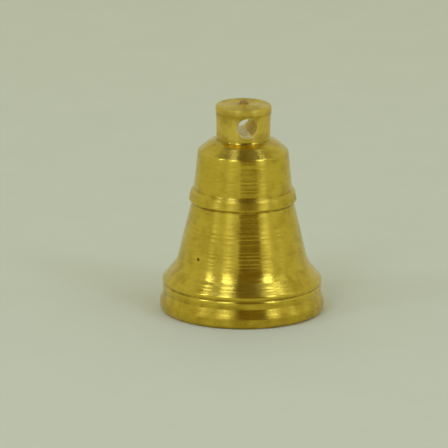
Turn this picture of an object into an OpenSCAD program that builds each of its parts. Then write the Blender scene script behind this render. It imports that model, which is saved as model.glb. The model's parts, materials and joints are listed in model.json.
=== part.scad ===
// Small church bell turned from solid brass bar, with a pinned clapper inside.
// The mouth stands on z = 0, +Z is up, and the bell hangs from a cross hole that runs along Y.
// All sizes are in millimetres.

/* [Bell body] */
// Diameter across the lip
lip_d = 10; // [9.9:0.05:10.3]
// Diameter at the foot of the flare
flare_d = 9.72; // [9.5:0.02:9.8]
// Diameter across the waist bead
bead_d = 6.58; // [6.4:0.02:6.9]
// Diameter of the body just under the waist bead
waist_d = 6.2; // [6:0.02:6.3]
// Diameter at the edge of the shoulder
shoulder_d = 5.52; // [5.3:0.02:5.7]
// Height of the shoulder's edge above the mouth
shoulder_z = 9.95; // [9.8:0.01:10.05]

/* [Boss] */
// Height from the mouth to the flat top of the boss
bell_h = 12.82; // [12.6:0.01:13.4]
// Diameter across the rim of the boss
boss_d = 3.4; // [3.36:0.02:3.6]
// Diameter of the boss below its rim
neck_d = 3.28; // [3.2:0.02:3.34]
// Diameter of the cross hole that the bell hangs from
hole_d = 1.2; // [0.8:0.05:1.3]
// Height of the cross hole's axis
hole_z = 11.7; // [11.6:0.02:11.8]

/* [Bore] */
// Inner diameter at the mouth
mouth_d = 8.4; // [8.3:0.02:8.7]
// Inner diameter at the sound bow, where the clapper strikes
bow_d = 7.56; // [7.5:0.02:7.7]
// Inner diameter at the waist
throat_d = 5.16; // [4.9:0.02:5.3]
// Height of the crown's flat underside
crown_z = 9.2; // [9.1:0.01:9.3]

/* [Crown staple] */
// Diameter of the forked stud
fork_d = 1.8; // [1.6:0.02:2]
// Width of the slot between its two ears
slot_w = 0.6; // [0.56:0.01:0.7]
// Diameter of the spigot pressed into the crown
spigot_d = 1; // [0.8:0.02:1.2]
// Length of that spigot
spigot_l = 1.3; // [1:0.02:1.35]

/* [Clapper] */
// Height of the pin that the clapper swings on
pivot_z = 8.05; // [8:0.01:8.1]
// Diameter of the pin
pin_d = 0.5; // [0.4:0.01:0.55]
// Radial running clearance between the pin and the clapper's eye
pin_clearance = 0.02; // [0.01:0.01:0.05]
// Diameter of the shank
shank_d = 0.6; // [0.5:0.02:0.7]
// Diameter of the ball
ball_d = 2.4; // [2:0.05:2.5]
// Height of the ball's centre
ball_z = 1.95; // [1.9:0.01:2.2]

/* [Hidden] */

$fn = 96;
// Largest turn between two points of a rounded corner, in degrees, and the largest distance
arc_step = 15;
arc_chord = 0.12;
// How far a cutting shape reaches past the face it cuts
past = 1;

turned_brass = [0.69, 0.6, 0.17];
staple_brass = [0.62, 0.52, 0.2];
pin_brass = [0.78, 0.68, 0.3];
clapper_brass = [0.64, 0.53, 0.16];

// Parting pip left at the centre of the boss
pip_r = 0.22;
pip_h = 0.2;
// Neck of the boss, between its rim and the shoulder
rim_h = 0.45;
neck_top_z = bell_h - 0.9;
neck_foot_z = shoulder_z + 0.76;
shoulder_top_r = shoulder_d / 2 - 0.67;
// Waist bead: its face leans back a little, and its lower edge is sharp
bead_shoulder_h = 0.17;
bead_top_z = 7.45;
bead_low_z = 6.93;
bead_lean = 0.12;
bead_drop = 0.14;
body_low_r = bead_d / 2 - 0.3;
// Flare
flare_bend_r = 4.0;
flare_bend_z = 2.98;
flare_foot_z = 1.96;
// Two grooves and the ring between them, over the lip
flare_edge = 0.12;
groove_depth = 0.1;
upper_groove_z = 1.68;
ring_z = 1.5;
ring_h = 0.2;
lower_groove_z = 1.2;
lip_h = 0.64;
lip_chamfer = 0.18;
// Bore
bow_z = 1.9;
bore_bend_r = 3.36;
bore_bend_z = 3.1;
throat_z = 6.6;
crown_inner_r = 2.25;
socket_gap = 0.05;
// Crown staple
ear_drop = 0.5;
slot_rise = 0.62;
fork_chamfer = 0.1;
// Clapper
eye_r = 0.52;
eye_t = 0.5;
tang_l = 0.85;
collar_d = 0.9;
collar_h = 0.16;
peen_d = 0.8;
peen_h = 0.2;
pin_end_gap = 0.04;
pin_chamfer = 0.06;
ball_flat_z = sqrt(pow(ball_d / 2, 2) - pow(collar_d / 2, 2));

// Section of the bell: [radius, height, corner radius], down the outside and up the bore
bell_rows = [
    [0, bell_h + pip_h, 0],
    [pip_r, bell_h + pip_h, 0.03],
    [pip_r + 0.02, bell_h, 0],
    [boss_d / 2, bell_h, 0.16],
    [boss_d / 2, bell_h - rim_h, 0.4],
    [neck_d / 2, neck_top_z, 0.8],
    [neck_d / 2, neck_foot_z, 0.16],
    [shoulder_top_r, neck_foot_z - 0.18, 0.3],
    [shoulder_d / 2, shoulder_z, 0.16],
    [body_low_r, bead_top_z + bead_shoulder_h, 0.05],
    [bead_d / 2 - bead_lean, bead_top_z, 0.12],
    [bead_d / 2, bead_low_z, 0.06],
    [waist_d / 2, bead_low_z - bead_drop, 0.03],
    [flare_bend_r, flare_bend_z, 2],
    [flare_d / 2, flare_foot_z, 0.1],
    [flare_d / 2, flare_foot_z - flare_edge, 0.03],
    [flare_d / 2 - groove_depth, upper_groove_z, 0.02],
    [flare_d / 2 - 0.03, ring_z + ring_h / 2, 0.04],
    [flare_d / 2 - 0.03, ring_z - ring_h / 2, 0.06],
    [flare_d / 2 - groove_depth + 0.01, lower_groove_z, 0.1],
    [lip_d / 2, lip_h, 0.16],
    [lip_d / 2, lip_chamfer, 0.14],
    [lip_d / 2 - lip_chamfer, 0, 0.04],
    [mouth_d / 2, 0, 0.12],
    [bow_d / 2, bow_z, 0.9],
    [bore_bend_r, bore_bend_z, 1.6],
    [throat_d / 2, throat_z, 2],
    [crown_inner_r, crown_z, 0.7],
    [0, crown_z, 0]
];

// Vector of length one along v
function unit(v) = v / norm(v);

// Points of the arc of radius r that rounds corner b between its neighbours a and c
function corner(a, b, c, r) =
    let (
        u = unit(a - b),
        v = unit(c - b),
        half = acos(u * v) / 2,
        centre = b + unit(u + v) * r / sin(half),
        from = b + u * r / tan(half) - centre,
        to = b + v * r / tan(half) - centre,
        start = atan2(from.y, from.x),
        turn = atan2(from.x * to.y - from.y * to.x, from * to),
        arc_length = abs(turn) * r * PI / 180,
        steps = ceil(max(abs(turn) / arc_step, arc_length / arc_chord))
    )
    [for (i = [0 : steps]) centre + r * [cos(start + turn * i / steps), sin(start + turn * i / steps)]];

// Radius and height of one row, without its corner radius
function place(row) = [row.x, row.y];

// Closed outline through rows, with its corners rounded
function rounded(rows) =
    let (n = len(rows))
    [for (i = [0 : n - 1])
        each rows[i].z > 0
            ? corner(place(rows[(i + n - 1) % n]), place(rows[i]), place(rows[(i + 1) % n]), rows[i].z)
            : [place(rows[i])]];

// Cylinder along Y, centred on the origin
module cross_cylinder(d, l) {
    rotate([90, 0, 0]) cylinder(d = d, h = l, center = true);
}

// Turned brass shell: boss, shoulder, waist bead, flare, ring and lip
module bell_body() {
    color(turned_brass)
    difference() {
        rotate_extrude() polygon(rounded(bell_rows));
        translate([0, 0, hole_z]) cross_cylinder(hole_d, boss_d + past);
        translate([0, 0, crown_z - past]) cylinder(d = spigot_d, h = spigot_l + socket_gap + past);
    }
}

// Forked stud that carries the clapper, its spigot pressed into the crown
module crown_staple() {
    ears_z = pivot_z - ear_drop;
    color(staple_brass)
    difference() {
        rotate_extrude()
            polygon([
                [0, ears_z],
                [fork_d / 2 - fork_chamfer, ears_z],
                [fork_d / 2, ears_z + fork_chamfer],
                [fork_d / 2, crown_z],
                [spigot_d / 2, crown_z],
                [spigot_d / 2, crown_z + spigot_l - fork_chamfer],
                [spigot_d / 2 - fork_chamfer, crown_z + spigot_l],
                [0, crown_z + spigot_l]
            ]);
        translate([-fork_d, -slot_w / 2, ears_z - past])
            cube([2 * fork_d, slot_w, ear_drop + slot_rise + past]);
        translate([0, 0, pivot_z]) cross_cylinder(pin_d, fork_d + past);
    }
}

// Pin pressed through both ears, its chamfered ends just inside the stud
module clapper_pin() {
    pin_l = fork_d - 2 * pin_end_gap;
    color(pin_brass)
    translate([0, 0, pivot_z])
        rotate([90, 0, 0])
            rotate_extrude()
                polygon([
                    [0, -pin_l / 2],
                    [pin_d / 2 - pin_chamfer, -pin_l / 2],
                    [pin_d / 2, pin_chamfer - pin_l / 2],
                    [pin_d / 2, pin_l / 2 - pin_chamfer],
                    [pin_d / 2 - pin_chamfer, pin_l / 2],
                    [0, pin_l / 2]
                ]);
}

// Flat drilled eye, tang, round shank, seating collar and the peened end under the ball
module clapper_shank() {
    collar_z = ball_z + ball_flat_z;
    peen_z = ball_z - ball_flat_z;
    color(clapper_brass)
    difference() {
        union() {
            translate([0, 0, pivot_z]) cross_cylinder(2 * eye_r, eye_t);
            translate([-shank_d / 2, -eye_t / 2, pivot_z - tang_l]) cube([shank_d, eye_t, tang_l]);
            translate([0, 0, peen_z]) cylinder(d = shank_d, h = pivot_z - tang_l - peen_z);
            translate([0, 0, collar_z]) cylinder(d = collar_d, h = collar_h);
            translate([0, 0, peen_z - peen_h]) cylinder(d1 = shank_d, d2 = peen_d, h = peen_h);
        }
        translate([0, 0, pivot_z]) cross_cylinder(pin_d + 2 * pin_clearance, eye_t + past);
    }
}

// Drilled ball, faced flat at both ends of its bore
module clapper_ball() {
    color(clapper_brass)
    translate([0, 0, ball_z])
        difference() {
            intersection() {
                sphere(d = ball_d);
                cylinder(d = ball_d + past, h = 2 * ball_flat_z, center = true);
            }
            cylinder(d = shank_d, h = ball_d + past, center = true);
        }
}

bell_body();
crown_staple();
clapper_pin();
clapper_shank();
clapper_ball();
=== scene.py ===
import json
import math

import bmesh
import bpy
import numpy as np
from mathutils import Matrix, Vector, noise


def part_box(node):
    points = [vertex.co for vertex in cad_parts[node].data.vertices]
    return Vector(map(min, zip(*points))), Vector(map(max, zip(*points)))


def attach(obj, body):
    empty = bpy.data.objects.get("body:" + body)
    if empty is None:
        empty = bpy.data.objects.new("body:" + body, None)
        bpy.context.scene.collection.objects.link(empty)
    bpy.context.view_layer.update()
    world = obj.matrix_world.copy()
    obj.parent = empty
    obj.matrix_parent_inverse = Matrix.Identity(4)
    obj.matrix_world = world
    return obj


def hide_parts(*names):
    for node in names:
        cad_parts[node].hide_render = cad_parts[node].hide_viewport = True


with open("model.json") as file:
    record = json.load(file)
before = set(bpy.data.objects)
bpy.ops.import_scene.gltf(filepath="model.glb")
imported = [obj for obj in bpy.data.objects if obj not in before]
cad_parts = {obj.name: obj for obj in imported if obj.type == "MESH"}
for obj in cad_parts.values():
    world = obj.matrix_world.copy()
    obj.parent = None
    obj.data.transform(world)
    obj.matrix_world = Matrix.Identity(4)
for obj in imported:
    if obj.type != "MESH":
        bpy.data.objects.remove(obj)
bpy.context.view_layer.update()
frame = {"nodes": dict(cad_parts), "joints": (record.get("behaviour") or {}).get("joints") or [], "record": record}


# ---------------------------------------------------------------- Camera
# A long lens looks down on the bell a little from the left of its cross hole, so that a sliver of daylight
# shows through the hole. The camera leans by half a degree, and the bell stands right of the middle.

MM = 0.001
CAMERA_AZIMUTH = -9.5
CAMERA_ELEVATION = 15.0
CAMERA_LEAN = 0.45
CAMERA_DISTANCE = 0.42
CAMERA_REACH = (0.01, 20)
AIM_HEIGHT = 5.29 * MM
AIM_ASIDE = 1.13 * MM
VIEW_WIDTH = 27.3 * MM
SENSOR = 36.0


def direction(azimuth, elevation):
    """Unit vector from the bell towards a place round it: azimuth 0 is the -Y side, 90 the +X side."""
    a, e = math.radians(azimuth), math.radians(elevation)
    return Vector((math.sin(a) * math.cos(e), -math.cos(a) * math.cos(e), math.sin(e)))


def placed(name, data):
    """Object with the given data, put in the scene."""
    made = bpy.data.objects.new(name, data)
    bpy.context.scene.collection.objects.link(made)
    return made


camera_back = direction(CAMERA_AZIMUTH, CAMERA_ELEVATION)
camera_right = direction(CAMERA_AZIMUTH + 90, 0)
aim = Vector((0, 0, AIM_HEIGHT)) - camera_right * AIM_ASIDE

camera = placed("camera", bpy.data.cameras.new("camera"))
camera.data.sensor_width = SENSOR
camera.data.lens = SENSOR * CAMERA_DISTANCE / VIEW_WIDTH
camera.data.clip_start, camera.data.clip_end = CAMERA_REACH
camera.rotation_mode = "QUATERNION"
camera.location = aim + camera_back * CAMERA_DISTANCE
camera.rotation_quaternion = (-camera_back).to_track_quat("-Z", "Y")
camera.rotation_quaternion @= Matrix.Rotation(math.radians(CAMERA_LEAN), 3, "Z").to_quaternion()
bpy.context.scene.camera = camera


# ---------------------------------------------------------------- Paper
# The bell stands on a large sheet of thick off-white paper, laid flat. Its surface is faintly fibrous and
# mottled, and it throws some light back up at the metal.


def put(tree, kind, inputs=(), **settings):
    """Adds a node, sets it, and joins or sets its inputs, given as {socket: value or output socket}."""
    made = tree.nodes.new(kind)
    for name, value in settings.items():
        setattr(made, name, value)
    for socket, value in dict(inputs).items():
        if isinstance(value, bpy.types.NodeSocket):
            tree.links.new(value, made.inputs[socket])
        else:
            made.inputs[socket].default_value = value
    return made


def maths(tree, operation, *values):
    """Output of a Math node."""
    return put(tree, "ShaderNodeMath", dict(enumerate(values)), operation=operation).outputs[0]


def blend_colour(tree, share, first, second):
    """Output of a colour mix, first where share is 0 and second where it is 1."""
    mix = put(tree, "ShaderNodeMix", {0: share, 6: first, 7: second}, data_type="RGBA")
    return mix.outputs[2]


def cloudy(tree, vector, scale, detail, roughness):
    """Output of a noise texture's value."""
    settings = {"Vector": vector, "Scale": scale, "Detail": detail, "Roughness": roughness}
    return put(tree, "ShaderNodeTexNoise", settings).outputs[0]


def new_material(name):
    """Empty material: its node tree and its Principled shader."""
    material = bpy.data.materials.new(name)
    material.use_nodes = True
    tree = material.node_tree
    return material, tree, tree.nodes["Principled BSDF"]


PAPER_SIZE = 3.0
PAPER_LIGHT = (0.80, 0.795, 0.53, 1)
PAPER_SHADE = (0.74, 0.735, 0.485, 1)
PAPER_CLOUDS, PAPER_FIBRES = 180.0, 1800.0
PAPER_ROUGHNESS, PAPER_GLOSS = 0.9, 0.2
FIBRE_HEIGHT = 0.02 * MM
# The sheet lies a little under the lip, so that the two faces don't share a plane
PAPER_DROP = 0.004 * MM

paper_look, tree, shader = new_material("paper")
place = put(tree, "ShaderNodeTexCoord").outputs["Object"]
cloud = cloudy(tree, place, PAPER_CLOUDS, 5.0, 0.6)
fibre = cloudy(tree, place, PAPER_FIBRES, 3.0, 0.7)
tone = maths(tree, "MULTIPLY_ADD", fibre, 0.3, maths(tree, "MULTIPLY", cloud, 0.7))
tree.links.new(blend_colour(tree, tone, PAPER_SHADE, PAPER_LIGHT), shader.inputs["Base Color"])
shader.inputs["Roughness"].default_value = PAPER_ROUGHNESS
shader.inputs["Specular IOR Level"].default_value = PAPER_GLOSS
bump = put(tree, "ShaderNodeBump", {"Height": fibre, "Distance": FIBRE_HEIGHT, "Strength": 0.4})
tree.links.new(bump.outputs[0], shader.inputs["Normal"])


def sheet(name, width, length, look, place):
    """Flat sheet of one material, laid in its place by a matrix."""
    flat = bmesh.new()
    bmesh.ops.create_grid(flat, x_segments=1, y_segments=1, size=0.5)
    made = placed(name, bpy.data.meshes.new(name))
    flat.to_mesh(made.data)
    flat.free()
    made.data.materials.append(look)
    made.data.transform(Matrix.Diagonal((width, length, 1, 1)))
    made.data.transform(place)
    return made


paper = sheet("paper", PAPER_SIZE, PAPER_SIZE, paper_look, Matrix.Translation((0, 0, -PAPER_DROP)))


# ---------------------------------------------------------------- Light
# A wide and a narrow window stand on either side of the bell, each of five panes that aren't equally bright. A lamp
# high behind it lights the paper but doesn't show in the metal, and a dark card hangs behind the camera. The room is
# pale near the horizon and dim overhead.

DAYLIGHT = (0.86, 1.0, 1.7)
WINDOW_DISTANCE = 0.42
PANE_HEIGHT = 0.115
LOWEST_PANE, PANE_STEP = 8, 16


def soft_box(name, azimuth, elevation, distance, width, height, brightness, colour=(1.0, 1.0, 1.0)):
    """Area light that faces the bell. Its azimuth is counted from the camera's, to the right."""
    lamp = bpy.data.lights.new(name, "AREA")
    lamp.shape = "RECTANGLE"
    lamp.size = width
    lamp.size_y = height
    lamp.energy = brightness * math.pi * width * height
    lamp.color = colour
    light = placed(name, lamp)
    away = direction(CAMERA_AZIMUTH + azimuth, elevation)
    light.location = away * distance
    light.rotation_mode = "QUATERNION"
    light.rotation_quaternion = away.to_track_quat("Z", "Y")
    light.visible_camera = False
    return light


def window(name, azimuth, width, panes):
    """Tall window of five panes, their brightness given from the lowest up."""
    for number, brightness in enumerate(panes):
        if brightness > 0:
            pane = f"{name} {number + 1}"
            elevation = LOWEST_PANE + PANE_STEP * number
            soft_box(pane, azimuth, elevation, WINDOW_DISTANCE, width, PANE_HEIGHT, brightness, DAYLIGHT)


window("left window", -30, 0.10, (0.2, 0.0, 2.6, 2.4, 0.0))
window("right window", 50.5, 0.088, (0.45, 0.0, 3.7, 0.8, 0.1))
window("left strip", -65, 0.05, (0.0, 0.5, 4.2, 1.0, 1.4))
window("right strip", 81, 0.036, (0.0, 0.7, 0.6, 3.8, 0.0))
fill = soft_box(
    "overhead fill", azimuth=180, elevation=50, distance=0.70, width=0.60, height=0.50, brightness=0.45
)
fill.visible_glossy = False

CARD_COLOUR = (0.33, 0.22, 0.075, 1)
CARD_WIDTH, CARD_LENGTH = 0.42, 0.70
CARD_AZIMUTH, CARD_ELEVATION, CARD_DISTANCE = 15, 25, 0.55

card_look, tree, shader = new_material("dark card")
shader.inputs["Base Color"].default_value = CARD_COLOUR
away = direction(CAMERA_AZIMUTH + CARD_AZIMUTH, CARD_ELEVATION)
facing = Matrix.Translation(away * CARD_DISTANCE) @ away.to_track_quat("Z", "Y").to_matrix().to_4x4()
dark_card = sheet("dark card", CARD_WIDTH, CARD_LENGTH, card_look, facing)
dark_card.visible_camera = False
dark_card.visible_diffuse = False
dark_card.visible_shadow = False

ROOM_LOW = (0.53, 0.56, 0.475, 1)
ROOM_HIGH = (0.13, 0.119, 0.094, 1)
ROOM_FADE_LOW, ROOM_FADE_HIGH = 0.70, 0.93


def ranged(tree, value, low, high, first=0.0, last=1.0):
    """Output of a value brought smoothly from low..high to first..last, and held inside it."""
    settings = {0: value, 1: low, 2: high, 3: first, 4: last}
    return put(tree, "ShaderNodeMapRange", settings, interpolation_type="SMOOTHSTEP").outputs[0]


world = bpy.data.worlds.new("room")
bpy.context.scene.world = world
world.use_nodes = True
tree = world.node_tree
upward = put(tree, "ShaderNodeSeparateXYZ", {0: put(tree, "ShaderNodeTexCoord").outputs["Generated"]}).outputs[2]
high = ranged(tree, upward, ROOM_FADE_LOW, ROOM_FADE_HIGH)
tree.links.new(blend_colour(tree, high, ROOM_LOW, ROOM_HIGH), tree.nodes["Background"].inputs["Color"])
bpy.context.scene.view_settings.view_transform = "Standard"


# ---------------------------------------------------------------- Bell body
# One solid turned from brass bar in a lathe: boss with a parting pip, shoulder, waist bead, flare, ring and lip,
# bored out from below. The boss was cross-drilled last, by hand, which left a ragged edge round the hole.

# Points closer together than this are one point
TOUCHING = 1e-8


def cad_outline(node):
    """Outline of a turned CAD node, from its top on the axis down the outside and back up the bore."""
    cut = bmesh.new()
    cut.from_mesh(frame["nodes"][node].data)
    bmesh.ops.remove_doubles(cut, verts=cut.verts, dist=TOUCHING)
    whole = cut.verts[:] + cut.edges[:] + cut.faces[:]
    found = bmesh.ops.bisect_plane(cut, geom=whole, dist=TOUCHING, plane_co=(0, 0, 0), plane_no=(0, 1, 0))
    beside = {}
    for edge in (g for g in found["geom_cut"] if isinstance(g, bmesh.types.BMEdge)):
        for end in edge.verts:
            beside.setdefault(end, []).append(edge.other_vert(end))
    here = max(beside, key=lambda v: v.co.z - 10 * abs(v.co.x))
    there = max(beside[here], key=lambda v: v.co.x)
    path = [here, there]
    while path[-1].co.x > TOUCHING:
        ahead = [v for v in beside[path[-1]] if v is not path[-2]]
        path.append(ahead[0])
    points = np.array([(v.co.x, v.co.z) for v in path])
    points[0, 0] = points[-1, 0] = 0
    cut.free()
    return points


def along(points):
    """Distance along a line of points, at each point."""
    return np.concatenate([[0], np.cumsum(np.linalg.norm(np.diff(points, axis=0), axis=1))])


def resampled(points, marks):
    """Points at the given distances along a line."""
    s = along(points)
    return np.stack([np.interp(marks, s, points[:, 0]), np.interp(marks, s, points[:, 1])], axis=1)


def gently(points, spread, step=0.002 * MM):
    """A line with its corners softened by a bell-shaped average, its two ends kept on the axis."""
    fine = resampled(points, np.arange(0, along(points)[-1], step))
    reach = int(3 * spread / step)
    weights = np.exp(-0.5 * (np.arange(-reach, reach + 1) * step / spread) ** 2)
    mirrored = np.array([-1.0, 1.0])
    padded = np.concatenate([fine[reach:0:-1] * mirrored, fine, fine[-2 : -reach - 2 : -1] * mirrored])
    soft = np.stack([np.convolve(padded[:, i], weights / weights.sum(), "valid") for i in (0, 1)], axis=1)
    soft[0, 0] = soft[-1, 0] = 0
    return soft


def bending(points, spread):
    """Turn per length along a line, averaged over a spread: above 0 in a hollow, below 0 on an edge."""
    s = along(points)
    tangent = np.gradient(points, s, axis=0)
    heading = np.unwrap(np.arctan2(tangent[:, 1], tangent[:, 0]))
    reach = int(3 * spread / (s[1] - s[0]))
    weights = np.exp(-0.5 * np.linspace(-3, 3, 2 * reach + 1) ** 2)
    return np.convolve(np.gradient(heading, s), weights / weights.sum(), "same")


def places(s, spacing):
    """Distances along a line whose gaps follow the wanted spacing at each point."""
    count = np.concatenate([[0], np.cumsum(np.diff(s) / spacing[1:])])
    return np.interp(np.linspace(0, count[-1], int(round(count[-1])) + 1), count, s)


# The outline comes off the CAD body. Its points stand closer where it bends and on the outside, and evenly up
# the boss, so that the cross hole can be let into a regular net: NET_OUT rows and columns of it, either way from the
# hole's axis, are drawn out, and those nearer than NET_IN are taken away.
TURNS = 160
NET_IN, NET_OUT = 9, 13
NET_STEP = 0.062 * MM
EDGE_SOFTNESS = 0.018 * MM
BEND_SPREAD, CREVICE_SPREAD = 0.04 * MM, 0.05 * MM
TURN_PER_STEP = 0.30
OUTSIDE_STEPS = (0.016 * MM, 0.046 * MM)
INSIDE_STEPS = (0.03 * MM, 0.15 * MM)
NET_MARGIN = 0.02 * MM

hanger = next(m for m in frame["record"]["mounts"] if m["name"] == "hanger_hole")
hole_z, hole_r = hanger["pos_m"][2], hanger["dims"]["r_mm"] * MM

outline = gently(cad_outline("bell_body"), EDGE_SOFTNESS)
s = along(outline)
# The outside ends where the flat foot meets the bore
outside = s < s[np.argmin(outline[:, 1] + 0.001 * outline[:, 0])]
gap = TURN_PER_STEP / np.maximum(np.abs(bending(outline, BEND_SPREAD)), 1.0)
gap = np.where(outside, np.clip(gap, *OUTSIDE_STEPS), np.clip(gap, *INSIDE_STEPS))
boss_r = outline[outside, 0][np.searchsorted(-outline[outside, 1], -hole_z)]
neck = outside & (outline[:, 0] > 0.9 * boss_r)
net_z = hole_z + NET_STEP * np.arange(NET_OUT, -NET_OUT - 1, -1)
net_s = np.interp(-net_z, -outline[neck, 1], s[neck])
marks = places(s, gap)
marks = np.concatenate([marks[marks < net_s[0] - NET_MARGIN], net_s, marks[marks > net_s[-1] + NET_MARGIN]])
hole_row = int(np.argmin(np.abs(marks - net_s[NET_OUT])))


# What an outline carries at each of its points, with the value of a plain one: how hollow it is, how deeply it is
# marked, how much more tarnished and rougher it is than the rest, and how hazy its metal is.
FINISH = {"crevice": 0.0, "marked": 1.0, "tarnish": 0.0, "rougher": 0.0, "haze": 0.0}


def outline_object(points, finish):
    """Outline as a chain of edges, with its finish at each point."""
    made = placed("outline", bpy.data.meshes.new("outline"))
    made.data.from_pydata([(r, 0, z) for r, z in points], [(i, i + 1) for i in range(len(points) - 1)], [])
    for name, plain in FINISH.items():
        values = np.full(len(points), plain) if name not in finish else finish[name]
        made.data.attributes.new(name, "FLOAT", "POINT").data.foreach_set("value", np.asarray(values, np.float32))
    return made


# The lathe: it turns an outline into a closed skin and runs the tool's marks round it. The marks are uneven
# ridges about a hundredth of a millimetre high, set by the distance along the outline.
WELD = 2 * TOUCHING
SEED_SHIFT = 31.7
FADING_SCALE = 500.0

lathe = bpy.data.node_groups.new("lathe", "GeometryNodeTree")
lathe.is_modifier = True
for name, kind in (
    ("Outline", "Geometry"),
    ("Turns", "Int"),
    ("Mark Spacing", "Float"),
    ("Mark Depth", "Float"),
    ("Seed", "Int"),
    ("Metal", "Material"),
):
    lathe.interface.new_socket(name, in_out="INPUT", socket_type="NodeSocket" + kind)
lathe.interface.new_socket("Piece", in_out="OUTPUT", socket_type="NodeSocketGeometry")

given = put(lathe, "NodeGroupInput").outputs
line = put(lathe, "GeometryNodeMeshToCurve", {"Mesh": given["Outline"]}).outputs["Curve"]
size = put(lathe, "GeometryNodeAttributeDomainSize", {"Geometry": line}, component="CURVE").outputs["Point Count"]
seam = put(lathe, "FunctionNodeIntegerMath", {0: given["Turns"], 1: 1}, operation="ADD").outputs[0]
net = put(lathe, "GeometryNodeMeshGrid", {"Vertices X": seam, "Vertices Y": size})
index = put(lathe, "GeometryNodeInputIndex").outputs[0]
row = put(lathe, "FunctionNodeIntegerMath", {0: index, 1: size}, operation="MODULO").outputs[0]
column = put(lathe, "FunctionNodeIntegerMath", {0: index, 1: size}, operation="DIVIDE_FLOOR").outputs[0]


def on_outline(value, kind):
    """Output of the value that the outline has at this vertex's row."""
    found = put(lathe, "GeometryNodeSampleIndex", data_type=kind, domain="POINT")
    for socket, source in (("Geometry", line), ("Value", value), ("Index", row)):
        lathe.links.new(source, found.inputs[socket])
    return found.outputs["Value"]


def kept(geometry, name, value, kind="FLOAT", domain="POINT"):
    """Output of the geometry with a named attribute stored on it."""
    made = put(lathe, "GeometryNodeStoreNamedAttribute", data_type=kind, domain=domain)
    for socket, source in (("Geometry", geometry), ("Value", value)):
        lathe.links.new(source, made.inputs[socket])
    made.inputs["Name"].default_value = name
    return made.outputs["Geometry"]


def named(name):
    """Output of a named number stored on the geometry."""
    return put(lathe, "GeometryNodeInputNamedAttribute", {"Name": name}, data_type="FLOAT").outputs[0]


point = on_outline(put(lathe, "GeometryNodeInputPosition").outputs[0], "FLOAT_VECTOR")
point = put(lathe, "ShaderNodeSeparateXYZ", {0: point}).outputs
angle = maths(lathe, "DIVIDE", maths(lathe, "MULTIPLY", column, 2 * math.pi), given["Turns"])
turned = put(
    lathe,
    "ShaderNodeCombineXYZ",
    {
        0: maths(lathe, "MULTIPLY", point[0], maths(lathe, "COSINE", angle)),
        1: maths(lathe, "MULTIPLY", point[0], maths(lathe, "SINE", angle)),
        2: point[2],
    },
).outputs[0]
distance = on_outline(put(lathe, "GeometryNodeSplineParameter").outputs["Length"], "FLOAT")
skin = kept(net.outputs["Mesh"], "along", distance)
skin = kept(skin, "row", row, "INT")
for name in FINISH:
    skin = kept(skin, name, on_outline(named(name), "FLOAT"))
skin = put(lathe, "GeometryNodeSetPosition", {"Geometry": skin, "Position": turned}).outputs[0]
skin = put(lathe, "GeometryNodeMergeByDistance", {"Geometry": skin, "Distance": WELD}).outputs[0]
skin = put(lathe, "GeometryNodeFlipFaces", {"Mesh": skin}).outputs[0]

feed = maths(lathe, "DIVIDE", named("along"), given["Mark Spacing"])
feed = maths(lathe, "MULTIPLY_ADD", given["Seed"], SEED_SHIFT, feed)
uneven_ridges = {"W": feed, "Scale": 1.0, "Detail": 1.5, "Roughness": 0.65}
ridges = put(lathe, "ShaderNodeTexNoise", uneven_ridges, noise_dimensions="1D").outputs[0]
here = put(lathe, "GeometryNodeInputPosition").outputs[0]
fading = put(lathe, "ShaderNodeTexNoise", {"Vector": here, "Scale": FADING_SCALE, "Detail": 1.0}).outputs[0]
height = maths(lathe, "MULTIPLY", maths(lathe, "SUBTRACT", ridges, 0.5), given["Mark Depth"])
height = maths(lathe, "MULTIPLY", height, maths(lathe, "MULTIPLY_ADD", fading, 1.2, 0.4))
height = maths(lathe, "MULTIPLY", height, named("marked"))
outward = put(lathe, "GeometryNodeInputNormal").outputs[0]
raised = put(lathe, "ShaderNodeVectorMath", {0: outward, "Scale": height}, operation="SCALE").outputs[0]
skin = put(lathe, "GeometryNodeSetPosition", {"Geometry": skin, "Offset": raised}).outputs[0]
skin = put(lathe, "GeometryNodeSetShadeSmooth", {"Geometry": skin}).outputs[0]
skin = put(lathe, "GeometryNodeRealizeInstances", {"Geometry": skin}).outputs[0]
skin = put(lathe, "GeometryNodeSetMaterial", {"Geometry": skin, "Material": given["Metal"]}).outputs[0]
put(lathe, "NodeGroupOutput", {"Piece": skin})


def coat(mesh, metal):
    """Gives all of a mesh one metal."""
    mesh.materials.clear()
    mesh.materials.append(metal)
    mesh.polygons.foreach_set("material_index", np.zeros(len(mesh.polygons), np.int32))


def turn(points, finish, turns, spacing, depth, seed, metal):
    """Mesh of a piece turned to an outline, in the given metal."""
    holder = outline_object(points, finish)
    modifier = holder.modifiers.new("lathe", "NODES")
    modifier.node_group = lathe
    settings = {"Turns": turns, "Mark Spacing": spacing, "Mark Depth": depth, "Seed": seed, "Metal": metal}
    for name, value in settings.items():
        modifier[lathe.interface.items_tree[name].identifier] = value
    made = bpy.data.meshes.new_from_object(holder.evaluated_get(bpy.context.evaluated_depsgraph_get()))
    bpy.data.objects.remove(holder)
    coat(made, metal)
    return made


# The cross hole. The lathe's net round it is drawn out into a ring, the skin inside the ring is taken away, and a
# drilled wall joins the two sides. The edge is broken unevenly, with a low burr where the drill broke through.
EDGE_BREAK = 0.035 * MM
EDGE_UNEVENNESS = 0.6
EDGE_STEPS = (0.3, 0.62, 1.0)
EDGE_ROUNDNESS = 1.6
BURR = 0.03 * MM
WALL_ROWS = 28
DRILL_MARKS = 0.004 * MM
DRILL_TWIST = 40


def uneven(angle, side, scale, seed):
    """Smooth chance value, about -1 to 1, round one opening of the hole."""
    return noise.noise(Vector((math.cos(angle) * scale, math.sin(angle) * scale, side * 5.3 + seed)))


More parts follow.
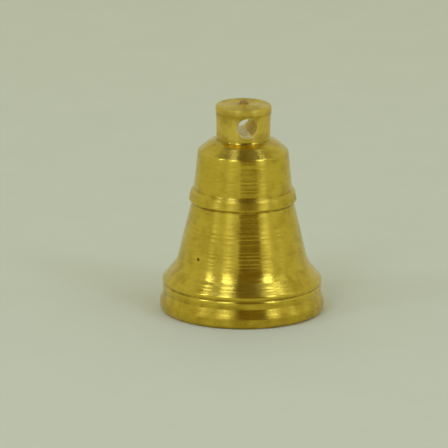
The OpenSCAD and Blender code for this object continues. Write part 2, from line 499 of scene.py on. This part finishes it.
def drill(mesh, metal):
    """Cuts the cross hole through both sides of a lathe mesh, along Y, its wall in the given metal."""
    shell = bmesh.new()
    shell.from_mesh(mesh)
    row_of = shell.verts.layers.int["row"]
    section = {v[row_of]: (v.co.z, v.co.x) for v in shell.verts if abs(v.co.y) < 1e-9 and v.co.x > 0}
    heights, radii = np.array([section[r] for r in range(hole_row - NET_OUT - 4, hole_row + NET_OUT + 5)]).T
    turn_step = 2 * math.pi / TURNS
    corners = 8 * NET_IN

    def radius_at(z):
        return float(np.interp(z, heights[::-1], radii[::-1]))

    def depth_at(x, z):
        return math.sqrt(radius_at(z) ** 2 - x * x)

    rims, inside = {-1: {}, 1: {}}, []
    for v in shell.verts:
        up = hole_row - v[row_of]
        if abs(up) > NET_OUT:
            continue
        side = 1 if v.co.y > 0 else -1
        across = round(math.atan2(v.co.x, abs(v.co.y)) / turn_step)
        ring = max(abs(up), abs(across))
        if ring < NET_IN:
            inside.append(v)
        if not NET_IN <= ring < NET_OUT:
            continue
        a, b = across / ring, up / ring
        if abs(a) >= abs(b):
            turn = math.pi / 4 * (b if a > 0 else 4 - b)
        else:
            turn = math.pi / 4 * (2 - a if b > 0 else 6 + a)
        edge = hole_r + EDGE_BREAK * (1 + EDGE_UNEVENNESS * uneven(turn, side, scale=3.0, seed=0.5))
        far_z = hole_z + b * NET_OUT * NET_STEP
        far_x = radius_at(far_z) * math.sin(a * NET_OUT * turn_step)
        share = (ring - NET_IN) / (NET_OUT - NET_IN)
        x = (1 - share) * edge * math.cos(turn) + share * far_x
        z = hole_z * (1 - share) + (1 - share) * edge * math.sin(turn) + share * far_z
        lift = BURR * max(0.0, uneven(turn, side, scale=2.2, seed=4.0)) * (1 - share) ** 3
        v.co = (x, side * (depth_at(x, z) + lift), z)
        if ring == NET_IN:
            rims[side][round(turn / (2 * math.pi) * corners) % corners] = v
    bmesh.ops.delete(shell, geom=inside, context="VERTS")

    rings = [[rims[-1][i] for i in range(corners)]]
    near_edge = [(-1, part) for part in EDGE_STEPS]
    far_edge = [(1, part) for part in reversed(EDGE_STEPS)]
    for step in near_edge + [None] * WALL_ROWS + far_edge:
        ring = []
        for i in range(corners):
            turn = 2 * math.pi * i / corners
            x, z = math.cos(turn), math.sin(turn)
            if step is None:
                share = (len(rings) - len(EDGE_STEPS)) / (WALL_ROWS + 1)
                twisted = turn + DRILL_TWIST * share
                r = hole_r + DRILL_MARKS * uneven(twisted, share * 3, scale=2.0, seed=9.0)
                deep = EDGE_BREAK - depth_at(x * hole_r, hole_z + z * hole_r)
                y = deep * (1 - 2 * share)
            else:
                side, part = step
                rim = rims[side][i].co
                r = math.hypot(rim.x, rim.z - hole_z)
                r = hole_r + (r - hole_r) * (1 - part) ** EDGE_ROUNDNESS
                y = rim.y - side * EDGE_BREAK * part
            ring.append(shell.verts.new((r * x, y, hole_z + r * z)))
        rings.append(ring)
    rings.append([rims[1][i] for i in range(corners)])
    for first, second in zip(rings, rings[1:]):
        for i in range(corners):
            j = (i + 1) % corners
            face = shell.faces.new((first[i], first[j], second[j], second[i]))
            face.smooth = True
            face.material_index = len(mesh.materials)
    shell.to_mesh(mesh)
    shell.free()
    mesh.materials.append(metal)


def stored(tree, name):
    """Output of a number stored on the mesh."""
    return put(tree, "ShaderNodeAttribute", attribute_name=name).outputs["Fac"]


def near(tree, place, spot, inner, outer):
    """Output that is 1 closer to a spot than inner and 0 further than outer."""
    away = put(tree, "ShaderNodeVectorMath", {0: place, 1: spot}, operation="DISTANCE").outputs["Value"]
    return ranged(tree, away, inner, outer, 1.0, 0.0)


# Brass as the tool left it and as years have left it: tarnish in clouds and along the tool's marks, grime in the
# hollows, and edges rubbed bright. Its shine is drawn out across the marks.
CLEAN = (0.75, 0.545, 0.055, 1)
TARNISHED = (0.47, 0.305, 0.022, 1)
GRIME = (0.115, 0.06, 0.014, 1)
TARNISH_SCALE, STREAK_SCALE = 1100.0, 420.0
MARK_SCALE, MARK_HEIGHT = 1900.0, 0.0035 * MM
PIT_SCALE, PIT_HEIGHT = 5200.0, 0.0016 * MM
# How much faster a pattern changes along the outline than round it
RUN_STRETCH = 10.0
SHINE_STRETCH, SHINE_TURN = 0.94, 0.25


def turned_brass(name, clean, tarnished, tarnish, smooth, rough):
    """Material of a turned piece. Tarnish is its share from 0 to 1, smooth and rough the ends of the roughness."""
    material, tree, shader = new_material(name)
    place = put(tree, "ShaderNodeTexCoord").outputs["Object"]
    x, y, _ = put(tree, "ShaderNodeSeparateXYZ", {0: place}).outputs
    run = maths(tree, "MULTIPLY", stored(tree, "along"), RUN_STRETCH)
    ringwise = put(tree, "ShaderNodeCombineXYZ", {0: x, 1: y, 2: run}).outputs[0]
    clouds = cloudy(tree, place, TARNISH_SCALE, 5.0, 0.62)
    streaks = cloudy(tree, ringwise, STREAK_SCALE, 4.0, 0.6)
    crevice = stored(tree, "crevice")
    hollow = ranged(tree, crevice, 2.0, 8.0)
    edge = ranged(tree, maths(tree, "MULTIPLY", crevice, -1.0), 1.5, 9.0)

    dulled = maths(tree, "MULTIPLY_ADD", streaks, 0.25, maths(tree, "MULTIPLY", clouds, 0.95))
    dulled = maths(tree, "ADD", dulled, stored(tree, "tarnish"))
    dulled = ranged(tree, dulled, 0.68 - 0.36 * tarnish, 1.06 - 0.36 * tarnish, 0.0, 0.8)
    dulled = maths(tree, "MULTIPLY", dulled, maths(tree, "MULTIPLY_ADD", edge, -0.8, 1.0))
    colour = blend_colour(tree, dulled, clean, tarnished)
    soiled = maths(tree, "MULTIPLY", hollow, ranged(tree, clouds, 0.34, 0.62, 0.12, 0.60))
    soiled = maths(tree, "MULTIPLY", soiled, maths(tree, "MULTIPLY_ADD", stored(tree, "haze"), -1.5, 1.0))
    colour = blend_colour(tree, soiled, colour, GRIME)
    tree.links.new(colour, shader.inputs["Base Color"])

    grain = ranged(tree, streaks, 0.3, 0.7, smooth, rough)
    grain = maths(tree, "MULTIPLY_ADD", dulled, 0.06, grain)
    grain = maths(tree, "MULTIPLY_ADD", soiled, 0.25, grain)
    grain = maths(tree, "ADD", grain, stored(tree, "rougher"))
    tree.links.new(grain, shader.inputs["Roughness"])
    fine = cloudy(tree, ringwise, MARK_SCALE, 3.0, 0.7)
    rings = put(tree, "ShaderNodeBump", {"Height": fine, "Distance": MARK_HEIGHT, "Strength": 1.0}).outputs[0]
    pits = cloudy(tree, place, PIT_SCALE, 2.0, 0.6)
    skin = {"Height": pits, "Distance": PIT_HEIGHT, "Strength": 1.0, "Normal": rings}
    tree.links.new(put(tree, "ShaderNodeBump", skin).outputs[0], shader.inputs["Normal"])
    shader.inputs["Metallic"].default_value = 1.0
    shader.inputs["Anisotropic"].default_value = SHINE_STRETCH
    shader.inputs["Anisotropic Rotation"].default_value = SHINE_TURN
    return material, tree, shader, place, colour


# The hole's wall, bumped and rough as the drill left it. Its colour is paler than the turned skin, a painted
# reflection of the daylight through the hole, and deeper yellow towards +X, a painted shade on that side.
DRILLED_PAINTED_DAYLIGHT = (0.93, 0.88, 0.50, 1)
DRILLED_SHADED_YELLOW = (0.90, 0.68, 0.10, 1)
DRILLED_TINT = (1.0, 0.90, 0.55, 1)
DRILLED_METALLIC = 0.35
DRILLED_SCALE, DRILLED_HEIGHT = 3000.0, 0.01 * MM
SHADED_SIDE_FROM, SHADED_SIDE_TO, SHADED_SIDE_WANDER = 0.42 * MM, 0.60 * MM, 0.5 * MM

drilled_look, tree, shader = new_material("drilled brass")
place = put(tree, "ShaderNodeTexCoord").outputs["Object"]
x = put(tree, "ShaderNodeSeparateXYZ", {0: place}).outputs[0]
clouds = cloudy(tree, place, DRILLED_SCALE, 4.0, 0.65)
# Painted light: the pale painted daylight reflection is broken with clean brass in clouds. Past a wandering line
# towards +X it gives way to painted shade, and that side is also rougher.
shaded_side = ranged(tree, maths(tree, "MULTIPLY_ADD", clouds, SHADED_SIDE_WANDER, x), SHADED_SIDE_FROM, SHADED_SIDE_TO)
colour = blend_colour(tree, ranged(tree, clouds, 0.35, 0.7), DRILLED_PAINTED_DAYLIGHT, CLEAN)
colour = blend_colour(tree, shaded_side, colour, DRILLED_SHADED_YELLOW)
tree.links.new(colour, shader.inputs["Base Color"])
tree.links.new(maths(tree, "MULTIPLY_ADD", shaded_side, 0.3, 0.2), shader.inputs["Roughness"])
bump = put(tree, "ShaderNodeBump", {"Height": clouds, "Distance": DRILLED_HEIGHT, "Strength": 1.0})
tree.links.new(bump.outputs[0], shader.inputs["Normal"])
shader.inputs["Metallic"].default_value = DRILLED_METALLIC
shader.inputs["Specular Tint"].default_value = DRILLED_TINT

# The skin, with a rusty speck low on the flare and a brown stain over the parting pip.
SPECK = (0.10, 0.028, 0.008, 1)
SPECK_PLACE = (-3.08 * MM, -2.23 * MM, 3.77 * MM)
SPECK_CORE, SPECK_R = 0.06 * MM, 0.13 * MM
STAIN = (0.36, 0.17, 0.03, 1)
STAIN_PLACE = (0.03 * MM, 0.12 * MM, 13.0 * MM)
STAIN_CORE, STAIN_R = 0.30 * MM, 0.48 * MM
STAIN_SHARE = 0.85

brass_look, tree, shader, place, colour = turned_brass("turned brass", CLEAN, TARNISHED, 0.5, 0.17, 0.26)
colour = blend_colour(tree, near(tree, place, SPECK_PLACE, SPECK_CORE, SPECK_R), colour, SPECK)
stain = maths(tree, "MULTIPLY", near(tree, place, STAIN_PLACE, STAIN_CORE, STAIN_R), STAIN_SHARE)
colour = blend_colour(tree, stain, colour, STAIN)
tree.links.new(colour, shader.inputs["Base Color"])
tree.links.new(maths(tree, "SUBTRACT", 1.0, stored(tree, "haze")), shader.inputs["Metallic"])

# The outside's finish by height in millimetres: marked, tarnish, rougher, haze. The flare is the most marked, and the
# lip is browned by fingers. The fillet over the shoulder and the band under the boss's rim are bright from a finer
# cut, and the rest of the boss is rough and hazy.
BY_HEIGHT = {
    0.05: (0.0, 0.14, 0.0, 0.0),
    0.15: (0.5, 0.14, 0.0, 0.0),
    0.6: (0.5, 0.12, 0.0, 0.0),
    1.6: (0.5, 0.0, 0.0, 0.0),
    2.1: (0.5, 0.0, 0.0, 0.0),
    3.0: (0.8, 0.0, 0.0, 0.0),
    3.8: (1.2, 0.0, 0.0, 0.0),
    5.0: (1.0, 0.0, 0.0, 0.0),
    6.8: (0.6, 0.0, 0.0, 0.0),
    6.95: (0.7, 0.0, 0.08, 0.0),
    7.50: (0.7, 0.0, 0.08, 0.0),
    7.7: (0.6, 0.0, 0.0, 0.0),
    9.85: (0.6, 0.0, 0.0, 0.0),
    10.0: (0.3, 0.0, -0.02, 0.08),
    10.5: (0.3, 0.0, -0.02, 0.10),
    10.6: (0.2, 0.0, -0.12, 0.05),
    10.8: (0.2, 0.0, -0.14, 0.05),
    10.98: (0.8, 0.05, 0.20, 0.55),
    12.22: (0.8, 0.05, 0.20, 0.55),
    12.30: (0.2, 0.2, -0.02, 0.15),
    12.44: (0.2, 0.2, -0.02, 0.15),
    12.52: (0.8, 0.05, 0.20, 0.55),
}
BORE_FINISH = (0.5, 0.25, 0.06, 0.1)
BODY_MARK_SPACING, BODY_MARK_DEPTH, BODY_SEED = 0.2 * MM, 0.04 * MM, 3

points = resampled(outline, marks)
points[0, 0] = points[-1, 0] = 0
inside = marks > s[outside][-1]
finish = {"crevice": np.interp(marks, s, bending(outline, CREVICE_SPREAD)) * MM}
for i, name in enumerate(("marked", "tarnish", "rougher", "haze")):
    by_height = np.interp(points[:, 1] / MM, list(BY_HEIGHT), [row[i] for row in BY_HEIGHT.values()])
    finish[name] = np.where(inside, BORE_FINISH[i], by_height)
body_mesh = turn(points, finish, TURNS, BODY_MARK_SPACING, BODY_MARK_DEPTH, BODY_SEED, brass_look)
drill(body_mesh, drilled_look)
bell = placed("bell", body_mesh)
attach(bell, "bell")
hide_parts("bell_body")


# ---------------------------------------------------------------- Crown staple
# A stud turned from brass bar, with a spigot pressed up into the crown. Its lower end is slotted into two ears,
# which are cross-drilled for the pin, and its edges are broken with a fine file.

PIN_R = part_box("clapper_pin")[1][0]
STUD_R, _, STUD_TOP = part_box("crown_staple")[1]
STUD_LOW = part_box("crown_staple")[0][2]
swing = next(j for j in frame["joints"] if j["name"] == "clapper_swing")
pivot_z = swing["pos_m"][2]
CROWN_Z = 9.2 * MM
SPIGOT_R = 0.5 * MM
STUD_CHAMFER = 0.1 * MM
SLOT_WIDTH = 0.6 * MM
SLOT_RISE = 0.62 * MM
# How far the slot's cutter reaches below the stud
CUT_PAST = 1 * MM
STUD_VOXEL = 0.022 * MM
FILED_PASSES = 3
ROUND_SIDES = 128
STAPLE_CLEAN = (0.70, 0.50, 0.06, 1)
STAPLE_TARNISHED = (0.42, 0.26, 0.025, 1)


def rod(stations, sides=ROUND_SIDES):
    """Closed round bar about Z through (radius, height) stations, from the lowest up."""
    bar = bmesh.new()
    rings = []
    for r, z in stations:
        turns = (2 * math.pi * i / sides for i in range(sides))
        rings.append([bar.verts.new((r * math.cos(t), r * math.sin(t), z)) for t in turns])
    for low, high in zip(rings, rings[1:]):
        for i in range(sides):
            j = (i + 1) % sides
            bar.faces.new((low[i], low[j], high[j], high[i]))
    bar.faces.new(rings[0][::-1])
    bar.faces.new(rings[-1])
    return bar


def block(low, high):
    """Closed box between two corners."""
    made = bmesh.new()
    low, high = Vector(low), Vector(high)
    stretched = Matrix.Translation((low + high) / 2) @ Matrix.Diagonal(high - low).to_4x4()
    bmesh.ops.create_cube(made, size=1.0, matrix=stretched)
    return made


def across_at(z):
    """Matrix that lays a piece along Y at a height, from along Z at the origin."""
    return Matrix.Translation((0, 0, z)) @ Matrix.Rotation(math.pi / 2, 4, "X")


def crosswise(shape, z):
    """Shape about Z, laid along Y at a height."""
    bmesh.ops.transform(shape, matrix=across_at(z), verts=shape.verts)
    return shape


def joined(steps):
    """Object made from solids, each added to or cut from those before it, given as (solid, operation)."""
    whole = None
    for shape, operation in steps:
        mesh = bpy.data.meshes.new("solid")
        shape.to_mesh(mesh)
        shape.free()
        one = placed("solid", mesh)
        if whole is None:
            whole = one
            continue
        change = whole.modifiers.new("change", "BOOLEAN")
        change.operation = operation
        change.solver = "EXACT"
        change.object = one
        result = bpy.data.meshes.new_from_object(whole.evaluated_get(bpy.context.evaluated_depsgraph_get()))
        whole.modifiers.clear()
        whole.data = result
        bpy.data.objects.remove(one)
    return whole


def filed(whole, voxel):
    """Mesh of a solid with its edges rounded over by a voxel or two, in an even net."""
    remesh = whole.modifiers.new("net", "REMESH")
    remesh.mode = "VOXEL"
    remesh.voxel_size = voxel
    remesh.use_smooth_shade = True
    soften = whole.modifiers.new("soften", "SMOOTH")
    soften.factor = 0.5
    soften.iterations = FILED_PASSES
    made = bpy.data.meshes.new_from_object(whole.evaluated_get(bpy.context.evaluated_depsgraph_get()))
    bpy.data.objects.remove(whole)
    return made


def finish_net(mesh):
    """Stores along and crevice on an even net, as the lathe does on a turned piece."""
    count = len(mesh.vertices)
    co = np.empty(count * 3, np.float32)
    mesh.vertices.foreach_get("co", co)
    co = co.reshape(-1, 3)
    normal = np.empty(count * 3, np.float32)
    mesh.vertex_normals.foreach_get("vector", normal)
    normal = normal.reshape(-1, 3)
    edges = np.empty(len(mesh.edges) * 2, np.int32)
    mesh.edges.foreach_get("vertices", edges)
    a, b = edges.reshape(-1, 2).T
    total, number = np.zeros((count, 3)), np.zeros(count)
    for here, there in ((a, b), (b, a)):
        np.add.at(total, here, co[there] - co[here])
        np.add.at(number, here, 1)
    step = np.linalg.norm(co[a] - co[b], axis=1).mean()
    bend = 4 * np.einsum("ij,ij->i", total / number[:, None], normal) / step**2 * MM
    for _ in range(3):
        spread = bend.copy()
        for here, there in ((a, b), (b, a)):
            np.add.at(spread, here, bend[there])
        bend = spread / (number + 1)
    run = co[:, 2] + np.hypot(co[:, 0], co[:, 1])
    for name, values in (("crevice", bend), ("along", run)):
        mesh.attributes.new(name, "FLOAT", "POINT").data.foreach_set("value", np.asarray(values, np.float32))


stud = rod(
    [
        (STUD_R - STUD_CHAMFER, STUD_LOW),
        (STUD_R, STUD_LOW + STUD_CHAMFER),
        (STUD_R, CROWN_Z),
        (SPIGOT_R, CROWN_Z),
        (SPIGOT_R, STUD_TOP - STUD_CHAMFER),
        (SPIGOT_R - STUD_CHAMFER, STUD_TOP),
    ]
)
slot_low = (-2 * STUD_R, -SLOT_WIDTH / 2, STUD_LOW - CUT_PAST)
slot = block(slot_low, (2 * STUD_R, SLOT_WIDTH / 2, pivot_z + SLOT_RISE))
pin_hole = crosswise(rod([(PIN_R, -2 * STUD_R), (PIN_R, 2 * STUD_R)]), pivot_z)
staple_mesh = filed(joined([(stud, ""), (slot, "DIFFERENCE"), (pin_hole, "DIFFERENCE")]), STUD_VOXEL)
finish_net(staple_mesh)
coat(staple_mesh, turned_brass("staple brass", STAPLE_CLEAN, STAPLE_TARNISHED, 0.7, 0.26, 0.38)[0])
staple = placed("staple", staple_mesh)
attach(staple, "bell")
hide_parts("crown_staple")


# ---------------------------------------------------------------- Clapper pin
# A short piece of hard brass wire, its ends chamfered in the lathe, pressed through both ears of the staple. It
# is brighter than the rest, because it is drawn wire and the clapper's eye rubs on it.

PIN_LENGTH = 2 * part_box("clapper_pin")[1][1]
PIN_CHAMFER = 0.06 * MM
PIN_SOFTNESS, PIN_BEND_SPREAD = 0.008 * MM, 0.02 * MM
PIN_TURNS = 96
PIN_STEP = 0.016 * MM
PIN_MARK_SPACING, PIN_MARK_DEPTH, PIN_SEED = 0.1 * MM, 0.004 * MM, 11
PIN_CLEAN = (0.82, 0.64, 0.12, 1)
PIN_TARNISHED = (0.55, 0.38, 0.04, 1)

half = PIN_LENGTH / 2
corners = [(0, half), (PIN_R - PIN_CHAMFER, half), (PIN_R, half - PIN_CHAMFER)]
corners += [(r, -z) for r, z in reversed(corners)]
pin_line = gently(np.array(corners), PIN_SOFTNESS)
pin_marks = places(along(pin_line), np.full(len(pin_line), PIN_STEP))
pin_points = resampled(pin_line, pin_marks)
pin_points[0, 0] = pin_points[-1, 0] = 0
pin_finish = {"crevice": np.interp(pin_marks, along(pin_line), bending(pin_line, PIN_BEND_SPREAD)) * MM}
pin_look = turned_brass("wire brass", PIN_CLEAN, PIN_TARNISHED, 0.3, 0.16, 0.28)[0]
pin_mesh = turn(pin_points, pin_finish, PIN_TURNS, PIN_MARK_SPACING, PIN_MARK_DEPTH, PIN_SEED, pin_look)
pin_mesh.transform(across_at(pivot_z))
pin = placed("pin", pin_mesh)
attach(pin, "bell")
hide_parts("clapper_pin")


# ---------------------------------------------------------------- Clapper shank
# A turned brass rod with a flat drilled eye at its top and a collar that seats the ball. Its lower end is peened
# over under the ball with a light hammer.

EYE_R, COLLAR_R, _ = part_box("clapper_shank")[1]
PEEN_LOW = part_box("clapper_shank")[0][2]
BALL_LOW, BALL_HIGH = (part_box("clapper_ball")[i][2] for i in (0, 1))
EYE_THICKNESS = 0.5 * MM
EYE_CLEARANCE = 0.02 * MM
TANG_LENGTH = 0.85 * MM
SHANK_R = 0.3 * MM
COLLAR_HEIGHT = 0.16 * MM
PEEN_R = 0.4 * MM
PEEN_ROUND = 0.07 * MM
PEEN_EDGE = 0.05 * MM
LAP = 0.05 * MM
SHANK_VOXEL = 0.017 * MM
SHANK_CLEAN = (0.72, 0.53, 0.065, 1)
SHANK_TARNISHED = (0.44, 0.28, 0.03, 1)

bore_r = PIN_R + EYE_CLEARANCE
eye = crosswise(rod([(EYE_R, -EYE_THICKNESS / 2), (EYE_R, EYE_THICKNESS / 2)]), pivot_z)
tang_low = (-SHANK_R, -EYE_THICKNESS / 2, pivot_z - TANG_LENGTH)
tang = block(tang_low, (SHANK_R, EYE_THICKNESS / 2, pivot_z - EYE_R / 2))
shank_rod = rod(
    [
        (PEEN_R - PEEN_ROUND, PEEN_LOW),
        (PEEN_R, PEEN_LOW + PEEN_EDGE),
        (SHANK_R, BALL_LOW),
        (SHANK_R, BALL_HIGH),
        (COLLAR_R, BALL_HIGH),
        (COLLAR_R, BALL_HIGH + COLLAR_HEIGHT),
        (SHANK_R, BALL_HIGH + COLLAR_HEIGHT),
        (SHANK_R, pivot_z - TANG_LENGTH + LAP),
    ]
)
eye_bore = crosswise(rod([(bore_r, -EYE_THICKNESS), (bore_r, EYE_THICKNESS)]), pivot_z)
parts = [(eye, ""), (tang, "UNION"), (shank_rod, "UNION"), (eye_bore, "DIFFERENCE")]
shank_mesh = filed(joined(parts), SHANK_VOXEL)
finish_net(shank_mesh)
coat(shank_mesh, turned_brass("shank brass", SHANK_CLEAN, SHANK_TARNISHED, 0.6, 0.22, 0.36)[0])
shank = placed("shank", shank_mesh)
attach(shank, "clapper")
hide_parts("clapper_shank")


# ---------------------------------------------------------------- Clapper ball
# A solid brass ball, turned, drilled through and faced flat at both ends of the bore. It slides on the shank up
# against the collar, and is held there by the peened end.

BALL_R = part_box("clapper_ball")[1][0]
BALL_TURNS = 144
BALL_STEP = 0.03 * MM
BALL_ARC_POINTS = 120
BALL_LINE_POINTS = 2000
BALL_MARK_SPACING, BALL_MARK_DEPTH, BALL_SEED = 0.16 * MM, 0.012 * MM, 5
BALL_CLEAN = (0.74, 0.55, 0.07, 1)
BALL_TARNISHED = (0.44, 0.28, 0.03, 1)

ball_z = (BALL_LOW + BALL_HIGH) / 2
flat_angle = math.asin((BALL_HIGH - ball_z) / BALL_R)
arc = np.linspace(flat_angle, -flat_angle, BALL_ARC_POINTS)
ball_rows = [(SHANK_R, BALL_HIGH - ball_z)]
ball_rows += [(BALL_R * math.cos(t), BALL_R * math.sin(t)) for t in arc]
ball_rows += [(SHANK_R, BALL_LOW - ball_z), (SHANK_R, BALL_HIGH - ball_z)]
ball_line = np.array(ball_rows)
ball_fine = np.linspace(0, along(ball_line)[-1], BALL_LINE_POINTS)
ball_marks = places(ball_fine, np.full(BALL_LINE_POINTS, BALL_STEP))
ball_points = resampled(ball_line, ball_marks) + [0, ball_z]
ball_look = turned_brass("ball brass", BALL_CLEAN, BALL_TARNISHED, 0.6, 0.2, 0.32)[0]
ball_mesh = turn(ball_points, {}, BALL_TURNS, BALL_MARK_SPACING, BALL_MARK_DEPTH, BALL_SEED, ball_look)
ball = placed("ball", ball_mesh)
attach(ball, "clapper")
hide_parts("clapper_ball")
